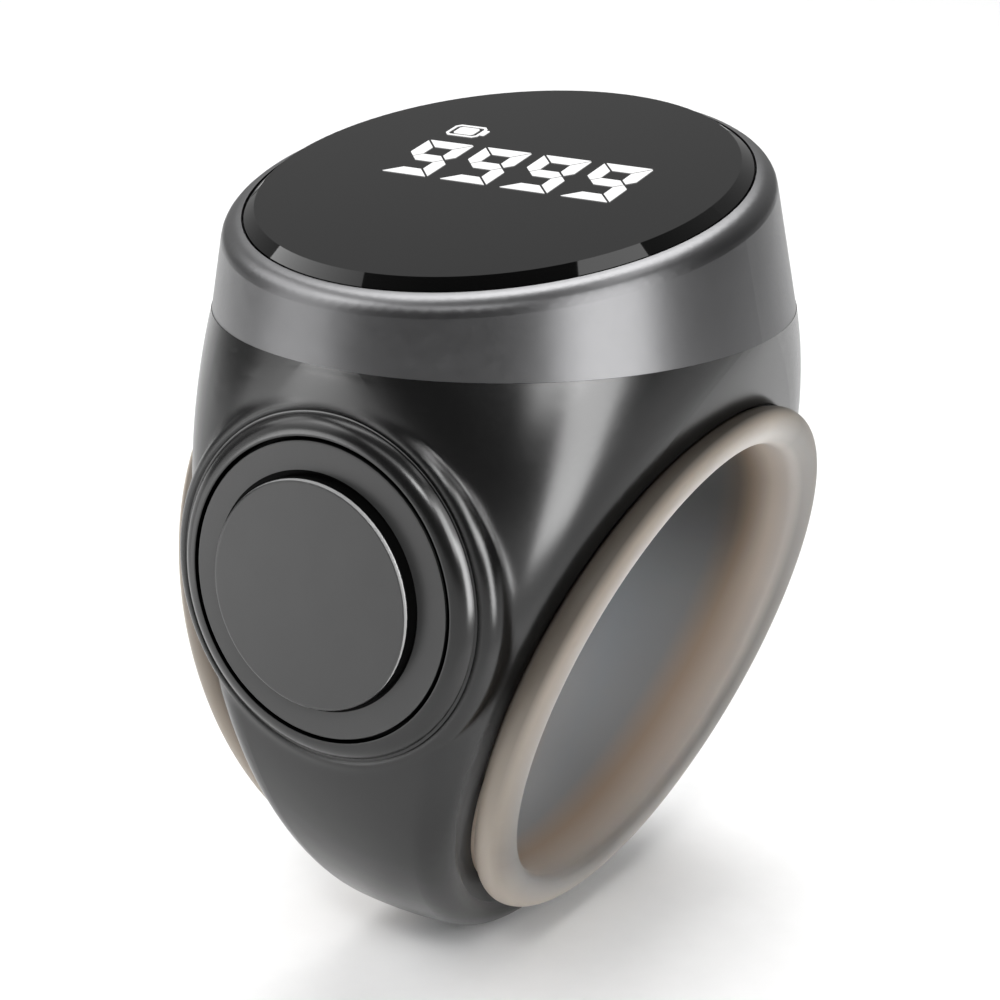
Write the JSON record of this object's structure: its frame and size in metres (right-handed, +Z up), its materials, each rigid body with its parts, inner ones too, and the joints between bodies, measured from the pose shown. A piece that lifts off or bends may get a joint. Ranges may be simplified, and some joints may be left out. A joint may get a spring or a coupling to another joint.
{
  "type": "finger ring tally counter",
  "caption": "Finger ring with a soft slanted liner, a round tilted head with a lit digit display under a smoked lens, and a large round push button on its front that adds to the tally.",
  "frame": {"origin": "centre of the finger bore, on its axis midway between the two lips", "axes": "+X along the finger bore, +Y away from the push button, +Z up from the finger to the display"},
  "size_m": [0.0246, 0.0277, 0.0355],
  "materials": {
    "black_shell": "satin black",
    "milky_silicone": "soft satin, slightly translucent",
    "gunmetal": "satin gunmetal",
    "smoked_lens": "polished smoked black",
    "button_grey": "satin dark grey",
    "black_collar": "satin black",
    "black_rubber": "matt",
    "clear_adhesive": "matt",
    "black_reflector": "matt",
    "milky_diffuser": "milky",
    "board_green": "solder mask",
    "led_yellow": "moulded",
    "frame_grey": "matt",
    "steel": "plain",
    "chip_black": "matt",
    "ceramic_tan": "matt",
    "connector_cream": "matt",
    "foam_grey": "foam",
    "pouch_silver": "foil",
    "gold_contact": "plated",
    "switch_black": "matt",
    "plunger_white": "matt",
    "flex_amber": "film"
  },
  "bodies": {
    "ring": {"battery": "pouch_silver", "battery_pad": "foam_grey", "bezel_seal": "black_rubber", "board_frame": "frame_grey", "board_passives": "ceramic_tan", "body_shell": "black_shell", "button_collar": "black_collar", "button_gasket": "black_rubber", "charge_contacts": "gold_contact", "charger_chip": "chip_black", "controller_chip": "chip_black", "digit_reflector": "black_reflector", "display_board": "board_green", "display_lens": "smoked_lens", "finger_liner": "milky_silicone", "flex_connector": "connector_cream", "frame_screws": "steel", "led_chips": "led_yellow", "lens_adhesive": "clear_adhesive", "motor_pad": "foam_grey", "segment_diffusers": "milky_diffuser", "switch_body": "switch_black", "switch_flex": "flex_amber", "top_bezel": "gunmetal", "vibration_motor": "steel"},
    "button": {"button_cap": "button_grey"},
    "plunger": {"switch_plunger": "plunger_white"}
  },
  "joints": [
    {"name": "button_press", "type": "slide", "parent": "ring", "child": "button", "axis": [0, 0.9985, -0.0541], "range_m": [0, 0.00035], "stiffness_N_per_m": 1500, "springref_m": -0.0004},
    {"name": "plunger_press", "type": "slide", "parent": "ring", "child": "plunger", "axis": [0, 0.9985, -0.0541], "range_m": [0, 0.00035]}
  ],
  "couplings": [
    {"joint": "plunger_press", "follows": "button_press", "ratio": 1}
  ]
}
